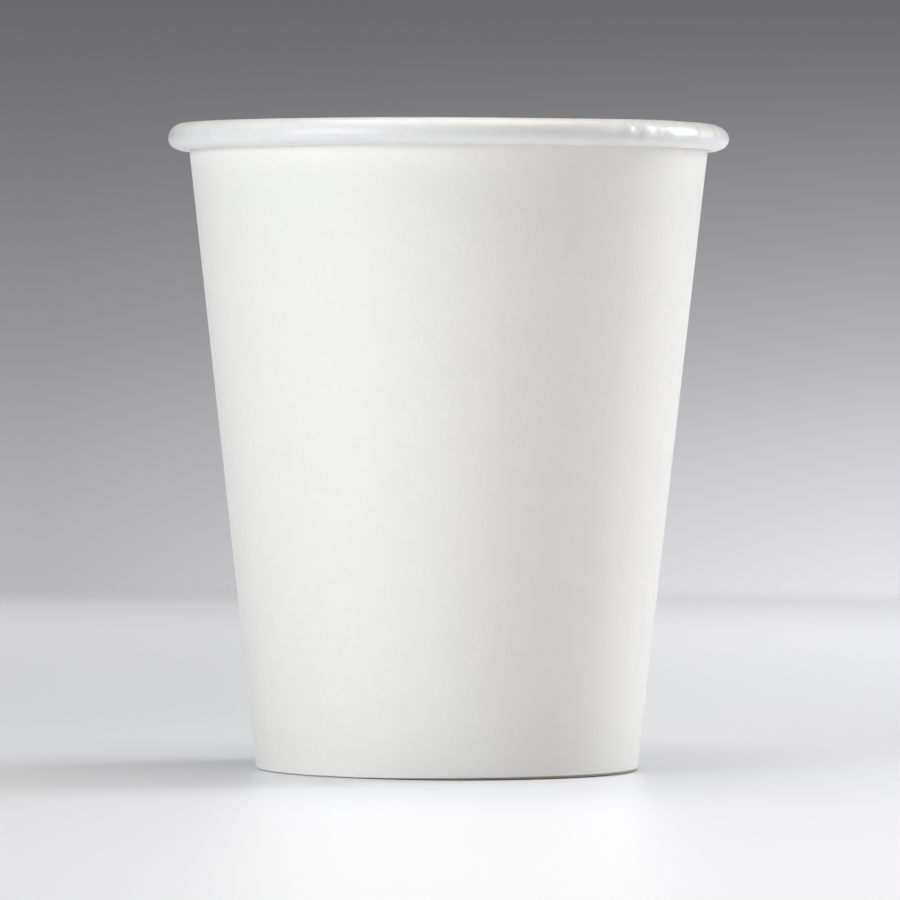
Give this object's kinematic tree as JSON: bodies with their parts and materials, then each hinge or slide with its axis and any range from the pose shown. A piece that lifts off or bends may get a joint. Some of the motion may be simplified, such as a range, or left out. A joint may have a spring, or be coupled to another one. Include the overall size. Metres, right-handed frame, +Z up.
{
  "type": "paper coffee cup",
  "caption": "Single-wall paper hot-drink cup: tapered side wall with a lapped seam, rolled rim and folded foot hem, and a recessed bottom disc.",
  "frame": {"origin": "centre of the foot, on the surface that the cup stands on", "axes": "+Z up along the cup's axis, -Y towards the front, the side seam at the back on +Y"},
  "size_m": [0.08, 0.08, 0.092],
  "materials": {
    "wall_board": "white uncoated board outside, thin glossy lining inside and over the rim",
    "disc_board": "white uncoated board below, thin glossy lining on top"
  },
  "bodies": {
    "root": {"side_wall": "wall_board", "bottom_disc": "disc_board"}
  },
  "joints": []
}
